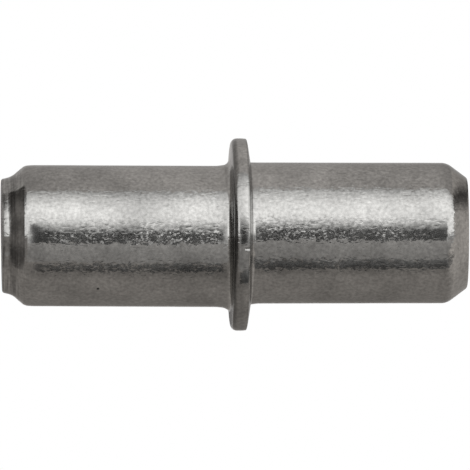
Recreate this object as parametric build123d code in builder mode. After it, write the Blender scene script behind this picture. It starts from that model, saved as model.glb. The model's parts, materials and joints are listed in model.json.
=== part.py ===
from build123d import *
import os
from math import radians, tan

# Shelf support pin, cold headed from one length of steel wire and plated.
# The panel shank goes into a 5 mm hole in the cabinet side, the collar stops it
# at the surface, and the shelf lies on the other shank.
# Millimetres. The origin is on the panel shank's axis, where the collar's face
# meets that shank. +X goes into the panel and +Z is up.

# Shanks
shank_diameter = 4.85
panel_shank_length = 7.46  # from the collar to the end that enters the hole
shelf_shank_length = 7.84  # from the collar to the sheared end
die_offset = 0.052  # the two heading dies met out of line: each shank's axis from the collar's

# Collar, upset between the shanks
collar_step = 0.897  # from the shank out to the rim's middle
collar_thickness = 0.733  # between its two faces, at the shank
panel_face_draft = 7.0  # degrees
shelf_face_draft = 5.0  # degrees
rim_crown = 0.027  # rise of the rim's middle over its edges
rim_crown_radius = 1.35
panel_rim_radius = 0.13
shelf_rim_radius = 0.15
panel_root_radius = 0.05
shelf_root_radius = 0.3

# Lead-in, a cone on the end that enters the hole
lead_in_length = 0.67
lead_in_step = 0.49  # from the shank in to the end face's rim
lead_in_shoulder_radius = 0.5
lead_in_edge_radius = 0.08

# Sheared end, a slope that runs out in a short nose left by the cut wire
slope_length = 0.445
nose_length = 0.378
nose_step = 0.48  # from the shank in to the sheared face's rim
nose_draft = 13.6  # degrees
slope_shoulder_radius = 0.53
slope_foot_radius = 0.6
sheared_edge_radius = 0.05

# A rounded corner takes up at most this share of the straight run on either side of it
run_share = 0.48

# Places along the pin
panel_end = panel_shank_length
lead_in_start = panel_end - lead_in_length
collar_middle = -collar_thickness / 2
shelf_end = -collar_thickness - shelf_shank_length
nose_start = shelf_end + nose_length
slope_start = nose_start + slope_length

# Radii about each section's own axis
shank_radius = shank_diameter / 2
collar_radius = shank_radius + collar_step
rim_edge_radius = collar_radius - rim_crown
lead_in_radius = shank_radius - lead_in_step
nose_radius = shank_radius - nose_step
nose_start_radius = nose_radius + nose_length * tan(radians(nose_draft))

# Heights of the three axes
panel_height = 0
collar_height = panel_height - die_offset
shelf_height = collar_height - die_offset

# The collar's faces are cones, drawn from its axis out to the rim
panel_face_slope = tan(radians(panel_face_draft))
shelf_face_slope = tan(radians(shelf_face_draft))
panel_face_on_axis = shank_radius * panel_face_slope
panel_face_at_rim = -(rim_edge_radius - shank_radius) * panel_face_slope
shelf_face_on_axis = -collar_thickness - shank_radius * shelf_face_slope
shelf_face_at_rim = -collar_thickness + (rim_edge_radius - shank_radius) * shelf_face_slope
rim_middle = (panel_face_at_rim + shelf_face_at_rim) / 2
root_room = collar_step - rim_crown - die_offset - max(panel_rim_radius, shelf_rim_radius)


def section_plane(height):
    return Plane(origin=(0, 0, height), x_dir=(1, 0, 0), z_dir=(0, -1, 0))


def section_axis(height):
    return Axis((0, 0, height), (1, 0, 0))


def corner_radii(points, radii):
    # Each corner's radius, limited by the shorter of the straight runs that meet there
    limited = []
    for before, corner, after, radius in zip(points, points[1:], points[2:], radii):
        arriving = Vector(corner) - Vector(before)
        leaving = Vector(after) - Vector(corner)
        run = min(arriving.length, leaving.length) * run_share
        half_turn = radians(arriving.get_angle(leaving)) / 2
        limited.append(min(radius, run / tan(half_turn)))
    return limited


panel_shank_outline = [
    (collar_middle, shank_radius),
    (lead_in_start, shank_radius),
    (panel_end, lead_in_radius),
    (panel_end, 0),
]
panel_shank_radii = [lead_in_shoulder_radius, lead_in_edge_radius]

shelf_shank_outline = [
    (collar_middle, shank_radius),
    (slope_start, shank_radius),
    (nose_start, nose_start_radius),
    (shelf_end, nose_radius),
    (shelf_end, 0),
]
shelf_shank_radii = [slope_shoulder_radius, slope_foot_radius, sheared_edge_radius]

collar_outline = [
    (shelf_face_on_axis, 0),
    (shelf_face_at_rim, rim_edge_radius),
    (rim_middle, collar_radius),
    (panel_face_at_rim, rim_edge_radius),
    (panel_face_on_axis, 0),
]
collar_radii = [shelf_rim_radius, rim_crown_radius, panel_rim_radius]

with BuildPart() as shelf_pin:
    # Panel shank
    with BuildSketch(section_plane(panel_height)):
        with BuildLine():
            FilletPolyline(*panel_shank_outline, radius=corner_radii(panel_shank_outline, panel_shank_radii))
            Polyline((panel_end, 0), (collar_middle, 0), (collar_middle, shank_radius))
        make_face()
    revolve(axis=section_axis(panel_height))

    # Shelf shank
    with BuildSketch(section_plane(shelf_height)):
        with BuildLine():
            FilletPolyline(*shelf_shank_outline, radius=corner_radii(shelf_shank_outline, shelf_shank_radii))
            Polyline((shelf_end, 0), (collar_middle, 0), (collar_middle, shank_radius))
        make_face()
    revolve(axis=section_axis(shelf_height))

    # Collar
    with BuildSketch(section_plane(collar_height)):
        with BuildLine():
            FilletPolyline(*collar_outline, radius=corner_radii(collar_outline, collar_radii))
            Line((panel_face_on_axis, 0), (shelf_face_on_axis, 0))
        make_face()
    revolve(axis=section_axis(collar_height))

    # Roots of the collar: a full radius under the shelf, a tight one against the panel
    shelf_root = shelf_pin.edges().sort_by_distance((-collar_thickness, shank_radius, shelf_height))[0]
    fillet(shelf_root, radius=min(shelf_root_radius, root_room))
    panel_root = shelf_pin.edges().sort_by_distance((0, shank_radius, panel_height))[0]
    fillet(panel_root, radius=min(panel_root_radius, root_room))

shelf_pin.part.label = "shelf_pin"

os.makedirs("parts", exist_ok=True)
export_step(shelf_pin.part, "parts/shelf_pin.step")
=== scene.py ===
import json
import math
import bmesh
import bpy
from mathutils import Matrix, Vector, noise


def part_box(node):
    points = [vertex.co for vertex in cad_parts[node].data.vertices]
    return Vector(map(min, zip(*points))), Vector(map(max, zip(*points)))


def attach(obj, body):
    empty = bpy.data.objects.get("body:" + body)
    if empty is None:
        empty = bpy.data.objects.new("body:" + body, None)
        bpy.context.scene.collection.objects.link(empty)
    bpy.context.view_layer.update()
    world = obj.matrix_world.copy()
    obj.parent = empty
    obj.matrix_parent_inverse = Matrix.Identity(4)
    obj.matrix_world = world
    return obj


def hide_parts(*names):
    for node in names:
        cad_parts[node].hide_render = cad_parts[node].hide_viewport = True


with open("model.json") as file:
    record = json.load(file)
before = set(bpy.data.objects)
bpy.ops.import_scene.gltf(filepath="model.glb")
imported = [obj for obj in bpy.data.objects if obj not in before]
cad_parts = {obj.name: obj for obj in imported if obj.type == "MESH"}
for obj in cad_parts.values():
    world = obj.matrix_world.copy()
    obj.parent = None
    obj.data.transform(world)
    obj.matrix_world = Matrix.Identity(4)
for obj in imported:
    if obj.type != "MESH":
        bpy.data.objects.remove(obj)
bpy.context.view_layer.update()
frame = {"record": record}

mm = 0.001


def linkObject(name, mesh):
    piece = bpy.data.objects.new(name, mesh)
    bpy.context.collection.objects.link(piece)
    return piece


def newMaterial(name):
    material = bpy.data.materials.new(name)
    material.use_nodes = True
    nodes = material.node_tree.nodes
    nodes.clear()
    return material, nodes, material.node_tree.links


def inMillimetres(stops):
    # (place, level) stops whose places are written in millimetres
    return [(place * mm, level) for place, level in stops]


def levelAlong(nodes, links, place, axis, stops):
    # a value that follows (place, level) stops along one axis of the object
    split = nodes.new("ShaderNodeSeparateXYZ")
    links.new(place, split.inputs["Vector"])
    spread = nodes.new("ShaderNodeMapRange")
    first, last = stops[0][0], stops[-1][0]
    spread.inputs["From Min"].default_value = first
    spread.inputs["From Max"].default_value = last
    links.new(split.outputs[axis], spread.inputs["Value"])
    highest = max(level for at, level in stops)
    curve = nodes.new("ShaderNodeFloatCurve")
    links.new(spread.outputs["Result"], curve.inputs["Value"])
    line = curve.mapping.curves[0]
    line.points[0].location = (0, stops[0][1] / highest)
    line.points[-1].location = (1, stops[-1][1] / highest)
    for at, level in stops[1:-1]:
        line.points.new((at - first) / (last - first), level / highest)
    for point in line.points:
        point.handle_type = 'VECTOR'
    curve.mapping.update()
    scale = nodes.new("ShaderNodeMath")
    scale.operation = 'MULTIPLY'
    scale.inputs[1].default_value = highest
    links.new(curve.outputs["Value"], scale.inputs[0])
    return scale.outputs["Value"]


def smoothShare(value, start, stop):
    share = min(max((value - start) / (stop - start), 0), 1)
    return share * share * (3 - 2 * share)


# the pin, spun from one half outline

pinLow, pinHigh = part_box("shelf_pin")
panelMount = frame["record"]["mounts"][0]

pin = {
    "shankRadius": panelMount["dims"]["r_mm"] * mm,
    "collarRadius": (pinHigh.y - pinLow.y) / 2,
    "shelfEnd": pinLow.x,
    "panelEnd": pinHigh.x,
    "collarThickness": 0.733 * mm,  # at the shank
    "panelFaceDraft": math.radians(8.8),
    "shelfFaceDraft": math.radians(5.0),
    "rimCrown": 0.027 * mm,
    "rimCrownRadius": 1.35 * mm,
    "rimTrim": 0.0055 * mm,  # what the crown's radius takes off the peak
    "crownShift": 0.05 * mm,  # the crown's peak lies off the rim's middle
    "panelRimRadius": 0.21 * mm,
    "shelfRimRadius": 0.2 * mm,
    "panelRootRadius": 0.06 * mm,
    "shelfRootRadius": 0.28 * mm,
    "leadInLength": 0.715 * mm,
    "leadInStep": 0.528 * mm,
    "leadInShoulderRadius": 0.5 * mm,
    "leadInEdgeRadius": 0.15 * mm,
    "slopeLength": 0.445 * mm,
    "noseLength": 0.378 * mm,
    "noseStep": 0.48 * mm,
    "noseDraft": math.radians(13.6),
    "slopeShoulderRadius": 0.2 * mm,
    "slopeFootRadius": 0.6 * mm,
    "shearedEdgeRadius": 0.09 * mm,
    "dieOffset": 0.052 * mm,  # each shank's axis from the collar's
    "shelfLean": 0.0042,  # rise of the shelf shank's axis for its length
    "shearSlant": 0.011,  # the sheared face leans in at its foot
    "noseDrop": 0.013 * mm,  # the cut wire's end lies a little low
    "collarLean": 0.019,  # the collar stands slightly askew
    "rootZone": 0.9,  # the roots are worked on from this share of the shank's radius outwards
    "rootReach": 0.62 * mm,
    "rootSqueeze": 0.9,  # the shelf root is tighter at front and back than above and below
    "rootTilt": 0.12,  # and tighter above than below
    "panelRootReach": 0.5 * mm,
    "panelRootStretch": 0.8,  # the panel root is wider at front and back
    "leadInLean": 0.035,  # the lead-in's shoulder is a little out of square
    "leadInLeanStart": (0.5 * mm, 0.15 * mm),  # before the shoulder, where that lean comes in
    "leadInLeanRun": 0.2 * mm,  # past the shoulder, from where it fades towards the end
    "ringStep": 0.09 * mm,
    "spinSteps": 256,
    "arcSegments": 8,
    "mergeDistance": 0.0005 * mm,
}


def outlineCorners(p):
    noseRadius = p["shankRadius"] - p["noseStep"]
    noseStart = p["shelfEnd"] + p["noseLength"]
    rimEdge = p["collarRadius"] - p["rimCrown"] + p["rimTrim"]
    shelfFaceRim = -p["collarThickness"] + (rimEdge - p["shankRadius"]) * math.tan(p["shelfFaceDraft"])
    panelFaceRim = -(rimEdge - p["shankRadius"]) * math.tan(p["panelFaceDraft"])
    crownPeak = (shelfFaceRim + panelFaceRim) / 2 + p["crownShift"]
    leadInStart = p["panelEnd"] - p["leadInLength"]
    leadInRadius = p["shankRadius"] - p["leadInStep"]
    return [  # along the pin, out from its axis, corner radius
        (p["shelfEnd"], 0, 0),
        (p["shelfEnd"], noseRadius, p["shearedEdgeRadius"]),
        (noseStart, noseRadius + p["noseLength"] * math.tan(p["noseDraft"]), p["slopeFootRadius"]),
        (noseStart + p["slopeLength"], p["shankRadius"], p["slopeShoulderRadius"]),
        (-p["collarThickness"], p["shankRadius"], p["shelfRootRadius"]),
        (shelfFaceRim, rimEdge, p["shelfRimRadius"]),
        (crownPeak, rimEdge + p["rimCrown"], p["rimCrownRadius"]),
        (panelFaceRim, rimEdge, p["panelRimRadius"]),
        (0, p["shankRadius"], p["panelRootRadius"]),
        (leadInStart, p["shankRadius"], p["leadInShoulderRadius"]),
        (p["panelEnd"], leadInRadius, p["leadInEdgeRadius"]),
        (p["panelEnd"], 0, 0),
    ]


def roundCorner(bm, corner, radius, segments):
    before, after = [edge.other_vert(corner) for edge in corner.link_edges]
    turn = math.pi - (before.co - corner.co).angle(after.co - corner.co)
    bmesh.ops.bevel(bm, geom=[corner], offset=radius * math.tan(turn / 2), offset_type='OFFSET',
                    segments=segments, profile=0.5, affect='VERTICES', material=-1)


def spinPin(p):
    bm = bmesh.new()
    corners = outlineCorners(p)
    chain = [bm.verts.new((along, 0, out)) for along, out, radius in corners]
    for first, second in zip(chain, chain[1:]):
        bm.edges.new((first, second))
    for corner, (along, out, radius) in zip(chain, corners):
        if radius:
            roundCorner(bm, corner, radius, p["arcSegments"])
    for edge in list(bm.edges):
        cuts = int(edge.calc_length() / p["ringStep"])
        if cuts:
            bmesh.ops.subdivide_edges(bm, edges=[edge], cuts=cuts)
    bmesh.ops.spin(bm, geom=bm.verts[:] + bm.edges[:], cent=(0, 0, 0), axis=(1, 0, 0),
                   angle=math.tau, steps=p["spinSteps"], use_merge=True)
    bmesh.ops.remove_doubles(bm, verts=bm.verts[:], dist=p["mergeDistance"])
    bmesh.ops.recalc_face_normals(bm, faces=bm.faces[:])
    return bm


def shareOfCollar(p, onShelfSide, out):
    # 0 on a shank, rising over its root to 1 on the collar
    root = p["shelfRootRadius"] if onShelfSide else p["panelRootRadius"]
    return min(max((out - p["shankRadius"]) / root, 0), 1)


def offsetDies(bm, p):
    # the shelf shank lies two steps below the panel shank, with the collar between them
    slopeStart = p["shelfEnd"] + p["noseLength"] + p["slopeLength"]
    shankMiddle = (slopeStart - p["collarThickness"]) / 2
    leadInStart = p["panelEnd"] - p["leadInLength"]
    leanFrom, leanFull = [leadInStart - before for before in p["leadInLeanStart"]]
    for vert in bm.verts:
        out = math.hypot(vert.co.y, vert.co.z)
        onShelfSide = vert.co.x < -p["collarThickness"] / 2
        collarShare = shareOfCollar(p, onShelfSide, out)
        if collarShare < 1 and out > p["shankRadius"] * p["rootZone"]:
            sideways = (vert.co.y / out) ** 2
            back = (-p["collarThickness"] - vert.co.x) / p["rootReach"]
            ahead = vert.co.x / p["panelRootReach"]
            if onShelfSide and 0 < back < 1:
                squeeze = 1 + p["rootSqueeze"] * sideways + p["rootTilt"] * vert.co.z / out
                vert.co.x = -p["collarThickness"] - p["rootReach"] * back ** squeeze
            if not onShelfSide and 0 < ahead < 1:
                vert.co.x = p["panelRootReach"] * ahead ** (1 / (1 + p["panelRootStretch"] * sideways))
        leadInShare = smoothShare(vert.co.x, leanFrom, leanFull)
        leadInShare *= smoothShare(vert.co.x, p["panelEnd"], leadInStart + p["leadInLeanRun"])
        vert.co.x -= p["leadInLean"] * vert.co.y * leadInShare
        shankDrop = 2 * p["dieOffset"] if onShelfSide else 0
        vert.co.z -= shankDrop + (p["dieOffset"] - shankDrop) * collarShare
        vert.co.x -= p["collarLean"] * vert.co.y * collarShare
        if onShelfSide:
            vert.co.z += p["shelfLean"] * (shankMiddle - vert.co.x) * (1 - collarShare)
            noseShare = smoothShare(-vert.co.x, -slopeStart, -p["shelfEnd"])
            vert.co.x += noseShare * p["shearSlant"] * (p["shankRadius"] - vert.co.z)
            vert.co.z -= noseShare * p["noseDrop"]


marks = {
    "innerShare": 0.5,  # nearer the axis than this share of the shank's radius nothing is pushed out
    "waveHeight": 0.0022 * mm,  # slow waves left on the shanks by the dies
    "waveScale": 700,
    "rippleHeight": 0.0007 * mm,
    "rippleScale": 2300,
    "shelfFlare": (0.02 * mm, 0.2 * mm),  # rise of the shank towards the collar, and how far out it starts
    "panelFlare": (0.014 * mm, 0.3 * mm),
    "panelTaper": (0.0, -0.014 * mm),  # the panel shank at the collar and at its end
    "shoulderWear": (0.024 * mm, 0.36 * mm),  # the shelf shank falls away before its shoulder
    "tornFrom": (0.5 * mm, 0.1 * mm),  # heights between which the sheared face turns from dragged to torn
    "tornWander": 0.35 * mm,
    "tornScale": 900,
    "fractureHeight": 0.03 * mm,  # torn lower part of the sheared face
    "fractureScale": 3500,
    "fractureDetail": (0.9, 2.1, 3),  # roughness, gap and number of its layers
    "dragHeight": 0.006 * mm,  # upright drag lines on its upper part
    "dragScale": (6000, 250),  # across the lines and along them
    "cleanRim": 0.93,  # share of the sheared face inside its clean edge
    "dishDepth": 0.02 * mm,  # the panel end is slightly hollow
    "dishUneven": 0.25,
    "dishScale": 1800,
    "pitPlace": Vector((-5.26, -1.6, -1.91)) * mm,
    "pitSize": Vector((0.06, 0.06, 0.034)) * mm,
    "pitDepth": 0.03 * mm,
    "pitFloor": 0.2,  # share of the pit that lies at its full depth
    "nickPlace": Vector((-0.15, -3.23, -0.56)) * mm,
    "nickSize": Vector((0.13, 0.2, 0.05)) * mm,
    "nickDepth": 0.032 * mm,
    "nickFlanks": (1.6, 0.4),  # lower and upper flank of the wedge, in half heights
    "nickEnds": 0.6,  # share of its length before it runs out
    "refineCuts": 4,
    "refineReach": 2.2,  # in sizes of the mark
    "workReach": 1.5,
}


def pushOut(vert, push):
    # away from the pin's axis
    out = math.hypot(vert.co.y, vert.co.z)
    vert.co.y *= 1 + push / out
    vert.co.z *= 1 + push / out


def workShanks(bm, p, m):
    # flares towards the collar, taper, wear at the shoulder and slow waves
    shoulder = p["shelfEnd"] + p["noseLength"] + p["slopeLength"]
    for vert in bm.verts:
        out = math.hypot(vert.co.y, vert.co.z)
        along = vert.co.x
        if out < p["shankRadius"] * m["innerShare"]:
            continue
        onShelfSide = along < -p["collarThickness"] / 2
        onShank = 1 - shareOfCollar(p, onShelfSide, out)
        push = m["waveHeight"] * noise.noise(vert.co * m["waveScale"])
        push += m["rippleHeight"] * noise.noise(vert.co * m["rippleScale"])
        if onShank == 0:
            push = min(push, 0)  # nothing stands out of the rim
        elif onShelfSide:
            rise, reach = m["shelfFlare"]
            away = -p["collarThickness"] - p["shelfRootRadius"] - along
            push += rise * onShank * max(1 - max(away, 0) / reach, 0) ** 2
            fall, reach = m["shoulderWear"]
            push -= fall * max(1 - abs(along - shoulder) / reach, 0) ** 2
        else:
            rise, reach = m["panelFlare"]
            push += rise * onShank * max(1 - max(along - p["panelRootRadius"], 0) / reach, 0) ** 2
            atCollar, atEnd = m["panelTaper"]
            push += onShank * (atCollar + (atEnd - atCollar) * along / p["panelEnd"])
        pushOut(vert, push)


def workEndFaces(bm, p, m):
    faceRadius = p["shankRadius"] - p["noseStep"] - p["shearedEdgeRadius"]
    endRadius = p["shankRadius"] - p["leadInStep"] - p["leadInEdgeRadius"]
    acrossDrag, alongDrag = m["dragScale"]
    for vert in bm.verts:
        out = math.hypot(vert.co.y, vert.co.z)
        if vert.co.x < p["shelfEnd"] + p["mergeDistance"] and out < faceRadius * 1.01:
            wander = m["tornWander"] * noise.noise(vert.co * m["tornScale"])
            torn = smoothShare(vert.co.z + wander, *m["tornFrom"])
            rough = 0.5 + 0.5 * noise.fractal(vert.co * m["fractureScale"], *m["fractureDetail"])
            drag = 0.5 + 0.5 * noise.noise(Vector((0, vert.co.y * acrossDrag, vert.co.z * alongDrag)))
            inside = smoothShare(out, faceRadius, faceRadius * m["cleanRim"])
            vert.co.x += inside * (torn * m["fractureHeight"] * max(rough, 0) + (1 - torn) * m["dragHeight"] * drag)
        if vert.co.x > p["panelEnd"] - p["mergeDistance"] and out < endRadius * 1.01:
            hollow = 1 - (out / endRadius) ** 2
            uneven = 1 + m["dishUneven"] * noise.noise(vert.co * m["dishScale"])
            vert.co.x -= max(hollow, 0) * m["dishDepth"] * uneven


def vertsNear(bm, place, size, reach):
    return [vert for vert in bm.verts if all(abs(vert.co[i] - place[i]) < size[i] * reach for i in range(3))]


def refinePatch(bm, place, size, m):
    near = vertsNear(bm, place, size, m["refineReach"])
    edges = {edge for vert in near for edge in vert.link_edges}
    bmesh.ops.subdivide_edges(bm, edges=list(edges), cuts=m["refineCuts"], use_grid_fill=True)
    return vertsNear(bm, place, size, m["workReach"])


def sinkPit(bm, m):
    place, size = m["pitPlace"], m["pitSize"]
    for vert in refinePatch(bm, place, size, m):
        away = Vector((vert.co[i] - place[i]) / size[i] for i in (0, 2)).length
        pushOut(vert, -m["pitDepth"] * smoothShare(away, 1, m["pitFloor"]))


def nickRim(bm, m):
    # a small wedge struck into the rim, deepest at its upper side
    place, size = m["nickPlace"], m["nickSize"]
    lowerFlank, upperFlank = m["nickFlanks"]
    for vert in refinePatch(bm, place, size, m):
        across = abs(vert.co.x - place.x) / size.x
        up = (vert.co.z - place.z) / size.z
        wedge = max(min((up + 1) / lowerFlank, (1 - up) / upperFlank), 0)
        pushOut(vert, -m["nickDepth"] * smoothShare(across, 1, m["nickEnds"]) * wedge)


pinMesh = spinPin(pin)
workShanks(pinMesh, pin, marks)
workEndFaces(pinMesh, pin, marks)
offsetDies(pinMesh, pin)
sinkPit(pinMesh, marks)
nickRim(pinMesh, marks)
print("pin spun:", len(pinMesh.verts), "vertices,", len(pinMesh.faces), "faces")

for face in pinMesh.faces:
    face.smooth = True
meshData = bpy.data.meshes.new("platedPin")
pinMesh.to_mesh(meshData)
pinMesh.free()
platedPin = linkObject("platedPin", meshData)

# nickel plate; places along the pin are in millimetres

plate = {
    "color": (0.404, 0.4, 0.388),
    "grazingTint": (0.75, 0.75, 0.75, 1),
    "roughness": (0.12, 0.15),
    "endRoughness": [  # added on the cut faces
        (-8.6, 0.32), (-8.535, 0.32), (-8.5, 0.0), (7.4, 0.0), (7.45, 0.14), (7.5, 0.14)],
    "brushing": 0.86,  # the plate scatters more along the pin than round it
    "brushTurn": 0.25,
    "grainScale": (6600, 11000, 11000),
    "grainRoughness": 0.7,
    "grainLean": (0.68, 0.24, 0.24),  # along the pin, and round it
    "grainLevels": [
        (-8.6, 0.12), (-7.5, 0.1), (-7.26, 0.1), (-7.14, 0.74), (-5.0, 0.78), (-3.0, 0.92), (-1.4, 1.08),
        (-1.12, 1.05), (-1.0, 0.12), (-0.7, 0.08), (-0.6, 0.18), (-0.2, 0.18), (-0.1, 0.08), (0.14, 0.08),
        (0.3, 1.0), (3.0, 0.96), (5.6, 0.86), (6.2, 0.8), (6.34, 0.12), (6.6, 0.14), (6.75, 0.7),
        (6.92, 1.0), (7.02, 0.6), (7.12, 0.28), (7.5, 0.15)],
    "patchScale": 1100,
    "patchLevels": (0.6, 1.4),  # the grain is weaker and stronger in patches
    "ringLevels": [
        (-8.6, 0.9), (-7.95, 0.9), (-7.75, 0.15), (-7.6, 0.02), (-1.1, 0.02), (-0.9, 0.1), (-0.1, 0.05),
        (0.3, 0.02), (6.6, 0.02), (6.85, 0.12), (7.5, 0.12)],
    "ringScale": (26000, 700, 700),
    "ringDepth": 0.0006 * mm,
    "ringTone": 0.7,
    "dentScale": (3800, 9000, 9000),
    "dentRange": (0.31, 0.42),
    "dentDepth": 0.002 * mm,
    "mottleScale": 9000,
    "mottle": 0.45,
    "stainScale": 750,
    "stain": 0.46,
    "stainRange": (0.3, 0.7),
    "paintedReflectionLevels": [  # painted highlights and painted dark reflections on the shelf root and the rim's edges; the slope is lighter and darker in bands too
        (-8.6, 1.0), (-8.28, 1.0), (-8.22, 0.72), (-8.1, 0.72), (-8.02, 1.06), (-7.85, 1.06), (-7.8, 1.0),
        (-0.86, 1.0), (-0.794, 1.1), (-0.765, 1.55), (-0.73, 1.45), (-0.69, 1.15), (-0.656, 0.95),
        (-0.63, 0.45), (-0.585, 0.42), (-0.55, 0.55), (-0.518, 0.68), (-0.483, 0.85), (-0.44, 0.87),
        (-0.3, 0.87), (-0.24, 0.95), (-0.17, 1.04), (-0.138, 0.9), (-0.104, 0.76), (-0.05, 0.8),
        (0, 1.0), (7.5, 1.0)],
    "pits": [  # place, and the distances from it at which it is dark and clean
        (marks["pitPlace"], (0.025 * mm, 0.06 * mm)),
        (Vector((7.05, -2.13, -0.53)) * mm, (0.012 * mm, 0.05 * mm))],
    "pitTone": 0.12,
}


def textureNoise(nodes, links, place, scale, detail):
    # fine pattern on the pin's own coordinates; scale may differ along and round the pin
    turn = nodes.new("ShaderNodeMapping")
    turn.inputs["Scale"].default_value = scale if isinstance(scale, tuple) else (scale, scale, scale)
    links.new(place, turn.inputs["Vector"])
    pattern = nodes.new("ShaderNodeTexNoise")
    pattern.inputs["Scale"].default_value = 1
    pattern.inputs["Detail"].default_value = detail
    links.new(turn.outputs["Vector"], pattern.inputs["Vector"])
    return pattern


def remap(nodes, links, value, fromRange, toRange):
    spread = nodes.new("ShaderNodeMapRange")
    for name, bound in zip(("From Min", "From Max", "To Min", "To Max"), (*fromRange, *toRange)):
        spread.inputs[name].default_value = bound
    links.new(value, spread.inputs["Value"])
    return spread.outputs["Result"]


def combine(nodes, links, operation, first, second):
    step = nodes.new("ShaderNodeMath")
    step.operation = operation
    links.new(first, step.inputs[0])
    links.new(second, step.inputs[1])
    return step.outputs["Value"]


def vectorStep(nodes, links, operation, first):
    step = nodes.new("ShaderNodeVectorMath")
    step.operation = operation
    links.new(first, step.inputs[0])
    return step


def relief(nodes, links, height, depth, below):
    bump = nodes.new("ShaderNodeBump")
    bump.inputs["Strength"].default_value = 1
    bump.inputs["Distance"].default_value = depth
    links.new(height, bump.inputs["Height"])
    if below:
        links.new(below, bump.inputs["Normal"])
    return bump.outputs["Normal"]


def platedNickel(p):
    material, nodes, links = newMaterial("platedNickel")
    output = nodes.new("ShaderNodeOutputMaterial")
    shader = nodes.new("ShaderNodeBsdfPrincipled")
    shader.inputs["Metallic"].default_value = 1
    shader.inputs["Specular Tint"].default_value = p["grazingTint"]
    shader.inputs["Anisotropic"].default_value = p["brushing"]
    shader.inputs["Anisotropic Rotation"].default_value = p["brushTurn"]
    links.new(shader.outputs["BSDF"], output.inputs["Surface"])
    tangent = nodes.new("ShaderNodeTangent")
    tangent.direction_type = 'RADIAL'
    tangent.axis = 'X'
    links.new(tangent.outputs["Tangent"], shader.inputs["Tangent"])
    place = nodes.new("ShaderNodeTexCoord").outputs["Object"]

    # rings left by the tools on the cones and the collar
    rings = textureNoise(nodes, links, place, p["ringScale"], 2).outputs["Fac"]
    ringShare = levelAlong(nodes, links, place, "X", inMillimetres(p["ringLevels"]))
    ringHeight = combine(nodes, links, 'MULTIPLY', rings, ringShare)
    ringTone = nodes.new("ShaderNodeMath")
    ringTone.operation = 'MULTIPLY_ADD'
    ringTone.inputs[2].default_value = 1
    links.new(remap(nodes, links, rings, (0, 1), (-p["ringTone"], p["ringTone"])), ringTone.inputs[0])
    links.new(ringShare, ringTone.inputs[1])

    # colour: fine mottling, slow stains, painted highlights and painted reflections along the pin, rings and dark pits
    mottling = textureNoise(nodes, links, place, p["mottleScale"], 2).outputs["Fac"]
    staining = textureNoise(nodes, links, place, p["stainScale"], 5).outputs["Fac"]
    shade = remap(nodes, links, mottling, (0, 1), (1 - p["mottle"], 1 + p["mottle"]))
    # the level along the pin paints highlights and dark reflections onto the shelf root and the rim's edges
    for level in (remap(nodes, links, staining, (0, 1), (1 - p["stain"], 1 + p["stain"])),
                  levelAlong(nodes, links, place, "X", inMillimetres(p["paintedReflectionLevels"])),
                  ringTone.outputs["Value"]):
        shade = combine(nodes, links, 'MULTIPLY', shade, level)
    for pitPlace, reach in p["pits"]:
        fromPit = vectorStep(nodes, links, 'DISTANCE', place)
        fromPit.inputs[1].default_value = pitPlace
        pitShade = remap(nodes, links, fromPit.outputs["Value"], reach, (p["pitTone"], 1))
        shade = combine(nodes, links, 'MULTIPLY', shade, pitShade)
    tone = nodes.new("ShaderNodeVectorMath")
    tone.operation = 'SCALE'
    tone.inputs[0].default_value = p["color"]
    links.new(shade, tone.inputs["Scale"])
    links.new(tone.outputs["Vector"], shader.inputs["Base Color"])
    dullness = combine(nodes, links, 'ADD', remap(nodes, links, staining, p["stainRange"], p["roughness"]),
                       levelAlong(nodes, links, place, "X", inMillimetres(p["endRoughness"])))
    links.new(dullness, shader.inputs["Roughness"])

    # relief: the rings, and small dents all over
    dents = textureNoise(nodes, links, place, p["dentScale"], 1).outputs["Fac"]
    dentHeight = remap(nodes, links, dents, p["dentRange"], (0, 1))
    worked = relief(nodes, links, ringHeight, p["ringDepth"], None)
    worked = relief(nodes, links, dentHeight, p["dentDepth"], worked)

    # grain: each speck of plate leans a little along the pin, less round it
    grain = textureNoise(nodes, links, place, p["grainScale"], 2)
    grain.inputs["Roughness"].default_value = p["grainRoughness"]
    patches = textureNoise(nodes, links, place, p["patchScale"], 2).outputs["Fac"]
    strength = combine(nodes, links, 'MULTIPLY', remap(nodes, links, patches, p["stainRange"], p["patchLevels"]),
                       levelAlong(nodes, links, place, "X", inMillimetres(p["grainLevels"])))
    centred = vectorStep(nodes, links, 'SUBTRACT', grain.outputs["Color"])
    centred.inputs[1].default_value = (0.5, 0.5, 0.5)
    lean = vectorStep(nodes, links, 'MULTIPLY', centred.outputs["Vector"])
    lean.inputs[1].default_value = p["grainLean"]
    weighted = vectorStep(nodes, links, 'SCALE', lean.outputs["Vector"])
    links.new(strength, weighted.inputs["Scale"])
    tilted = vectorStep(nodes, links, 'ADD', worked)
    links.new(weighted.outputs["Vector"], tilted.inputs[1])
    normal = vectorStep(nodes, links, 'NORMALIZE', tilted.outputs["Vector"])
    links.new(normal.outputs["Vector"], shader.inputs["Normal"])
    return material


platedPin.data.materials.append(platedNickel(plate))
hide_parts("shelf_pin")
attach(platedPin, "root")
print("plate on")

# studio: pale floor, white card behind, one large soft panel in front, and cards that the plate mirrors

studio = {
    "floorDrop": 62 * mm,
    "floorSize": 3.0,
    "floorColor": (0.88, 0.88, 0.88, 1),
    "floorRunOut": (0.05, 0.16),  # from the pin, where the floor begins to turn white and is white
    "worldTint": (1.035, 1.0, 0.975),
    "worldStrength": 0.54,
    "wallTint": (1.06, 1.0, 0.95),
    "white": (1, 1, 1),
}


def lightMaterial(name, tint):
    material, nodes, links = newMaterial(name)
    output = nodes.new("ShaderNodeOutputMaterial")
    shader = nodes.new("ShaderNodeEmission")
    shader.inputs["Color"].default_value = (*tint, 1)
    links.new(shader.outputs["Emission"], output.inputs["Surface"])
    return material, nodes, links, shader


def glow(name, tint, strength):
    material, nodes, links, shader = lightMaterial(name, tint)
    shader.inputs["Strength"].default_value = strength
    return material


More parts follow.
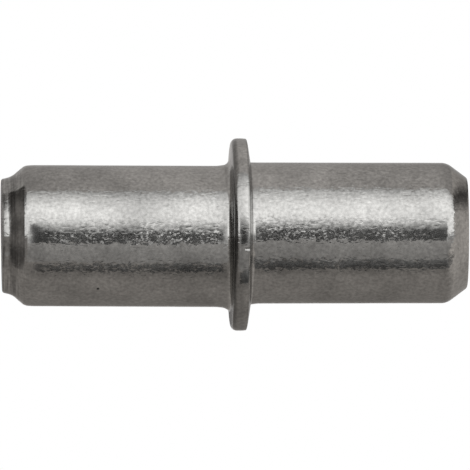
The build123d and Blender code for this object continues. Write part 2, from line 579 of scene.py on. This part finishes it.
def gradedGlow(name, axis, stops, tint):
    # light that changes along one direction of the card
    material, nodes, links, shader = lightMaterial(name, tint)
    place = nodes.new("ShaderNodeTexCoord").outputs["Object"]
    links.new(levelAlong(nodes, links, place, axis, stops), shader.inputs["Strength"])
    return material


def blockGlow(name, upward, across, foot):
    # dark in the middle, paler towards its top and sides, which dim towards the foot
    material, nodes, links, shader = lightMaterial(name, studio["white"])
    place = nodes.new("ShaderNodeTexCoord").outputs["Object"]
    sides = combine(nodes, links, 'MULTIPLY', levelAlong(nodes, links, place, "X", across),
                    levelAlong(nodes, links, place, "Z", foot))
    level = combine(nodes, links, 'MAXIMUM', levelAlong(nodes, links, place, "Z", upward), sides)
    links.new(level, shader.inputs["Strength"])
    return material


def blotchedGlow(name, scale, noiseRange, levels):
    material, nodes, links, shader = lightMaterial(name, studio["white"])
    blotches = textureNoise(nodes, links, nodes.new("ShaderNodeTexCoord").outputs["Object"], scale, 1)
    links.new(remap(nodes, links, blotches.outputs["Fac"], noiseRange, levels), shader.inputs["Strength"])
    return material


def matte(name, color):
    material, nodes, links = newMaterial(name)
    output = nodes.new("ShaderNodeOutputMaterial")
    shader = nodes.new("ShaderNodeBsdfDiffuse")
    shader.inputs["Color"].default_value = color
    links.new(shader.outputs["BSDF"], output.inputs["Surface"])
    return material


def stageCard(name, outline, material):
    bm = bmesh.new()
    bm.faces.new([bm.verts.new(point) for point in outline])
    mesh = bpy.data.meshes.new(name)
    bm.to_mesh(mesh)
    bm.free()
    card = linkObject(name, mesh)
    card.data.materials.append(material)
    return card


def onlyMirrored(card):
    card.visible_camera = False
    card.visible_diffuse = False
    card.visible_shadow = False
    card.visible_transmission = False


def mirrorCard(name, outline, material):
    card = stageCard(name, outline, material)
    onlyMirrored(card)
    return card


def strip(width, near, far):
    return [(-width / 2, near, 0), (width / 2, near, 0), (width / 2, far, 0), (-width / 2, far, 0)]


floorEdge = studio["floorSize"] / 2
floor = stageCard("floor", strip(studio["floorSize"], -floorEdge, floorEdge), matte("paleFloor", studio["floorColor"]))
floor.location.z = -studio["floorDrop"]

# soft panel, which lights the pin and is mirrored in it
panel = {
    "foot": Vector((0, -280, -62)) * mm,
    "top": Vector((0, -50, 260)) * mm,
    "width": 1.0,
    "levels": [  # share of its height, level
        (0.0, 0.38), (0.1, 0.42), (0.14, 0.52), (0.18, 0.9), (0.22, 1.55), (0.25, 1.68), (0.62, 1.68),
        (0.7, 1.46), (0.8, 1.17), (0.9, 0.88), (0.96, 0.66), (1.0, 0.5)],
}
panelRise = panel["top"] - panel["foot"]
panelHeight = panelRise.length
panelStops = [(share * panelHeight, level) for share, level in panel["levels"]]
softPanel = stageCard("softPanel", strip(panel["width"], 0, panelHeight),
                      gradedGlow("softPanelLight", "Y", panelStops, studio["white"]))
softPanel.location = panel["foot"]
softPanel.rotation_euler.x = math.atan2(panelRise.z, panelRise.y)
softPanel.visible_camera = False

# the floor as the plate mirrors it, in two tints
mirrorFloor = {
    "lift": 1 * mm,
    "width": 1.0,
    "levels": [
        (-0.30, 0.52), (-0.24, 0.5), (-0.07, 0.36), (-0.058, 0.3), (-0.036, 0.26), (-0.025, 0.24),
        (-0.019, 0.3), (-0.012, 0.31), (0.15, 0.31), (0.45, 0.5)],
    "runs": [  # name, from, to, tint
        ("farMirror", -0.45, -0.065, (1.025, 1.0, 0.98)),
        ("nearMirror", -0.065, 0.45, (1.065, 1.0, 0.945))],
}
for name, near, far, tint in mirrorFloor["runs"]:
    half = mirrorCard(name, strip(mirrorFloor["width"], near, far),
                      gradedGlow(name + "Light", "Y", mirrorFloor["levels"], tint))
    half.location.z = mirrorFloor["lift"] - studio["floorDrop"]

# dark block before the panel, which draws the dark band on the shanks; all places are in degrees from the pin
block = {
    "turn": 1.5,
    "reach": 0.985,  # share of the way to the panel
    "upward": [  # degrees up, level
        (-13.0, 0.06), (-5.0, 0.05), (0.0, 0.04), (5.0, 0.04), (7.5, 0.34), (12.0, 0.68), (16.0, 0.9),
        (20.0, 1.14), (24.0, 1.4), (29.0, 1.67)],
    "across": [  # degrees across, level
        (-16.0, 1.68), (-11.0, 0.8), (-8.0, 0.35), (-5.5, 0.04), (7.0, 0.04), (10.0, 0.35), (14.0, 0.75),
        (20.0, 1.68)],
    "foot": [  # degrees up, share of the levels across
        (-13.0, 0.54), (-6.0, 0.56), (-3.0, 0.68), (0.0, 0.92), (3.0, 1.0), (29.0, 1.0)],
    "shape": [  # degrees up, half width
        (-13.0, 20.0), (7.0, 20.0), (12.0, 17.0), (16.0, 14.0), (20.0, 11.0), (25.0, 7.0), (29.0, 3.0)],
}


def beforePanel(up, side):
    # the point just in front of the panel, seen from the pin this many degrees up and across
    foot, rise = panel["foot"], panelRise
    direction = Vector((math.tan(math.radians(side)), -math.cos(math.radians(up)), math.sin(math.radians(up))))
    reach = (foot.y * rise.z - foot.z * rise.y) / (direction.y * rise.z - direction.z * rise.y)
    return direction * reach * block["reach"]


blockOutline = [beforePanel(up, block["turn"] + half) for up, half in block["shape"]]
blockOutline += [beforePanel(up, block["turn"] - half) for up, half in reversed(block["shape"])]
upward = [(beforePanel(up, 0).z, level) for up, level in block["upward"]]
across = [(beforePanel(0, block["turn"] + side).x, level) for side, level in block["across"]]
foot = [(beforePanel(up, 0).z, share) for up, share in block["foot"]]
mirrorCard("darkBlock", blockOutline, blockGlow("darkBlockLight", upward, across, foot))

# walls round the pin: tops in degrees round from the front towards +X and degrees up, levels by height in mm
walls = {
    "reach": 110 * mm,
    "leftWall": {
        "top": [(-50, 14), (-58, 22), (-66, 26), (-75, 30), (-90, 34), (-105, 36), (-115, 33), (-122, 28), (-130, 22)],
        "levels": [(-61, 0.22), (-45, 0.14), (-20, 0.07), (-4, 0.08), (6, 0.1), (80, 0.11)],
    },
    "leftKerb": {
        "top": [(-24, -2), (-36, -2), (-47, -2)],
        "levels": [(-61, 0.3), (-20, 0.3), (-3, 0.36)],
    },
    "rightWall": {
        "top": [(78, 33), (92, 33), (105, 33)],
        "levels": [(27, 0.16), (72, 0.16)],
    },
}


def roundWall(name, reach, top, levels):
    # an upright wall curved round the pin, with an uneven top
    bm = bmesh.new()
    columns = []
    for turn, up in top:
        across, ahead = math.sin(math.radians(turn)) * reach, -math.cos(math.radians(turn)) * reach
        heights = (levels[0][0] * mm, reach * math.tan(math.radians(up)))
        columns.append([bm.verts.new((across, ahead, height)) for height in heights])
    for (foot, head), (nextFoot, nextHead) in zip(columns, columns[1:]):
        bm.faces.new((foot, nextFoot, nextHead, head))
    mesh = bpy.data.meshes.new(name)
    bm.to_mesh(mesh)
    bm.free()
    wall = linkObject(name, mesh)
    wall.data.materials.append(gradedGlow(name + "Light", "Z", inMillimetres(levels), studio["wallTint"]))
    onlyMirrored(wall)


for name in ("leftWall", "leftKerb", "rightWall"):
    roundWall(name, walls["reach"], walls[name]["top"], walls[name]["levels"])

# upright cards across the pin's line, just off its ends; millimetres
endCards = {
    "shearedCard": {
        "along": -9.8,
        "outline": [
            (-3.31, -2.75), (-3.85, -1.49), (-4.09, -0.04), (-3.8, 1.95), (-3.1, 3.9), (-2.0, 4.85),
            (-0.79, 5.1), (-0.39, 2.82), (-0.55, 0.79), (-1.07, -1.99), (-1.8, -2.48)],
        "levels": [
            (-2.78, 0.24), (-2.28, 0.17), (-1.9, 0.1), (-1.4, 0.105), (-1.05, 0.13), (-0.75, 0.19),
            (-0.4, 0.225), (-0.1, 0.21), (0.3, 0.165), (0.63, 0.14), (0.95, 0.16), (1.34, 0.205),
            (1.66, 0.215), (2.0, 0.17), (2.3, 0.12), (2.7, 0.085), (3.56, 0.08), (5.15, 0.08)],
    },
    "leadInCard": {
        "along": 9.5,
        "outline": [
            (-2.22, -3.53), (-3.34, -1.83), (-3.66, 0.0), (-3.34, 1.83), (-2.22, 3.53), (-0.3, 4.84),
            (2.79, 5.81), (5.5, 5.75), (5.5, -4.5), (-0.3, -4.84)],
        "levels": [
            (-4.9, 0.5), (0.0, 0.56), (1.23, 0.56), (1.76, 0.42), (2.37, 0.13), (2.96, 0.07),
            (3.39, 0.22), (3.95, 0.52), (5.85, 0.58)],
    },
}
for name, card in endCards.items():
    mirrorCard(name, [Vector((card["along"], y, z)) * mm for y, z in card["outline"]],
               gradedGlow(name + "Light", "Z", inMillimetres(card["levels"]), studio["wallTint"]))

# small dark card close to the shelf shank's end; millimetres
nearLeft = {
    "ahead": -4.4,
    "outline": [(-7.95, -0.8), (-7.19, -0.8), (-7.19, 0.6), (-7.34, 1.05), (-7.95, 1.05)],  # along the pin, up
    "upward": [(-0.8, 0.09), (0.55, 0.085), (0.8, 0.22), (1.05, 0.6)],
    "across": [
        (-7.95, 1.0), (-7.87, 0.65), (-7.75, 0.35), (-7.6, 0.13), (-7.48, 0.085), (-7.25, 0.085), (-7.19, 0.2)],
    "foot": [(-0.8, 1), (1.05, 1)],
}
mirrorCard("nearLeft", [Vector((x, nearLeft["ahead"], z)) * mm for x, z in nearLeft["outline"]],
           blockGlow("nearLeftLight", *(inMillimetres(nearLeft[key]) for key in ("upward", "across", "foot"))))

# pale cards low on the right, overhead where it is brightest above the collar, and behind
paleCards = {
    "rightFloor": {
        "outline": [(0.04, -0.08, -0.06), (0.3, -0.2, -0.06), (0.3, 0.25, -0.06), (0.02, 0.25, -0.06)],
        "axis": "X",
        "levels": [(0.02, 0.31), (0.04, 0.38), (0.1, 0.68), (0.3, 0.68)],
        "tint": studio["wallTint"],
    },
    "overhead": {
        "outline": [(-0.12, -0.0078, 0.03), (0.12, -0.0078, 0.03), (0.12, 0.06, 0.03), (-0.12, 0.06, 0.03)],
        "axis": "X",
        "levels": [(-0.12, 0.42), (-0.0085, 0.43), (-0.001, 0.62), (0.002, 0.62), (0.0095, 0.43), (0.12, 0.42)],
        "tint": (1.045, 1.0, 0.97),
    },
    "behind": {
        "outline": [(-0.2, 0.06, -0.009), (0.2, 0.06, -0.009), (0.2, 0.06, 0.03), (-0.2, 0.06, 0.03)],
        "axis": "Z",
        "levels": [(-0.009, 0.33), (-0.004, 0.42), (0.0, 0.52), (0.03, 0.52)],
        "tint": studio["worldTint"],
    },
}
for name, card in paleCards.items():
    mirrorCard(name, card["outline"], gradedGlow(name + "Light", card["axis"], card["levels"], card["tint"]))

# dim card low behind the collar; millimetres
belowCollar = {
    "ahead": 59.5,
    "outline": [(-9.5, -6), (2, -6), (2, -2), (-9.5, -2)],  # along the pin, up
    "level": 0.18,
}
mirrorCard("belowCollar", [Vector((x, belowCollar["ahead"], z)) * mm for x, z in belowCollar["outline"]],
           glow("belowCollarLight", studio["worldTint"], belowCollar["level"]))

# dark blotches along the dark strip of the floor
floorStrip = {
    "lift": 2 * mm,
    "outline": [(-0.009, -0.057), (0.0, -0.057), (0.004, -0.064), (0.12, -0.064), (0.12, -0.034), (-0.009, -0.034)],
    "blotchScale": (75, 40, 40),
    "blotchRange": (0.36, 0.64),
    "levels": (0.04, 0.26),
}
blotches = mirrorCard("floorStrip", [(x, y, 0) for x, y in floorStrip["outline"]],
                      blotchedGlow("floorStripLight", floorStrip["blotchScale"], floorStrip["blotchRange"],
                                   floorStrip["levels"]))
blotches.location.z = floorStrip["lift"] - studio["floorDrop"]
print("cards set")


def seenDirectly(nodes, links):
    # 1 for what the camera sees, straight or through a mirror or glass
    path = nodes.new("ShaderNodeLightPath")
    mirrored = combine(nodes, links, 'MAXIMUM', path.outputs["Is Glossy Ray"], path.outputs["Is Transmission Ray"])
    return combine(nodes, links, 'MAXIMUM', path.outputs["Is Camera Ray"], mirrored)


world = bpy.data.worlds.new("studioWorld")
bpy.context.scene.world = world
world.use_nodes = True
worldNodes, worldLinks = world.node_tree.nodes, world.node_tree.links
softLight = worldNodes["Background"]
softLight.inputs["Color"].default_value = (*studio["worldTint"], 1)
softLight.inputs["Strength"].default_value = studio["worldStrength"]
whiteRoom = worldNodes.new("ShaderNodeBackground")
whiteRoom.inputs["Color"].default_value = (*studio["white"], 1)
eitherLight = worldNodes.new("ShaderNodeMixShader")
worldLinks.new(seenDirectly(worldNodes, worldLinks), eitherLight.inputs["Fac"])
worldLinks.new(softLight.outputs["Background"], eitherLight.inputs[1])
worldLinks.new(whiteRoom.outputs["Background"], eitherLight.inputs[2])
worldLinks.new(eitherLight.outputs["Shader"], worldNodes["World Output"].inputs["Surface"])

# the floor is matte round the pin, where its shadow falls, and runs out to white
floorNodes, floorLinks = floor.data.materials[0].node_tree.nodes, floor.data.materials[0].node_tree.links
floorPlace = floorNodes.new("ShaderNodeTexCoord").outputs["Object"]
fromPin = vectorStep(floorNodes, floorLinks, 'LENGTH', floorPlace).outputs["Value"]
farOut = remap(floorNodes, floorLinks, fromPin, studio["floorRunOut"], (0, 1))
whiteShare = combine(floorNodes, floorLinks, 'MULTIPLY', farOut, seenDirectly(floorNodes, floorLinks))
whiteFloor = floorNodes.new("ShaderNodeEmission")
whiteFloor.inputs["Color"].default_value = (*studio["white"], 1)
whiteFloor.inputs["Strength"].default_value = 1
runOut = floorNodes.new("ShaderNodeMixShader")
floorLinks.new(whiteShare, runOut.inputs["Fac"])
floorLinks.new(floorNodes["Diffuse BSDF"].outputs["BSDF"], runOut.inputs[1])
floorLinks.new(whiteFloor.outputs["Emission"], runOut.inputs[2])
floorLinks.new(runOut.outputs["Shader"], floorNodes["Material Output"].inputs["Surface"])

# camera, and the white card behind the pin

view = {
    "yaw": math.radians(1.5),  # the shelf end is the nearer one
    "distance": 600 * mm,
    "frameWidth": 16.15 * mm,
    "aim": Vector((-0.52, 0, -0.068)) * mm,
    "sensorWidth": 36,
    "clip": (60 * mm, 12000 * mm),
    "backdropSize": 0.09,
    "backdropReach": 0.5,
}

camera = bpy.data.cameras.new("photoCamera")
cameraObject = linkObject("photoCamera", camera)
camera.sensor_width = view["sensorWidth"]
camera.lens = camera.sensor_width * view["distance"] / view["frameWidth"]
camera.clip_start, camera.clip_end = view["clip"]
towards = Vector((math.sin(view["yaw"]), math.cos(view["yaw"]), 0))
cameraObject.location = view["aim"] - towards * view["distance"]
cameraObject.rotation_euler = towards.to_track_quat('-Z', 'Y').to_euler()
bpy.context.scene.camera = cameraObject
bpy.context.scene.view_settings.view_transform = 'Standard'

backdropEdge = view["backdropSize"] / 2
backdrop = stageCard("backdrop", strip(view["backdropSize"], -backdropEdge, backdropEdge),
                     glow("whiteCard", studio["white"], 1))
backdrop.location = view["aim"] + towards * view["backdropReach"]
backdrop.rotation_euler = (math.radians(90), 0, -view["yaw"])
print("studio and camera set")
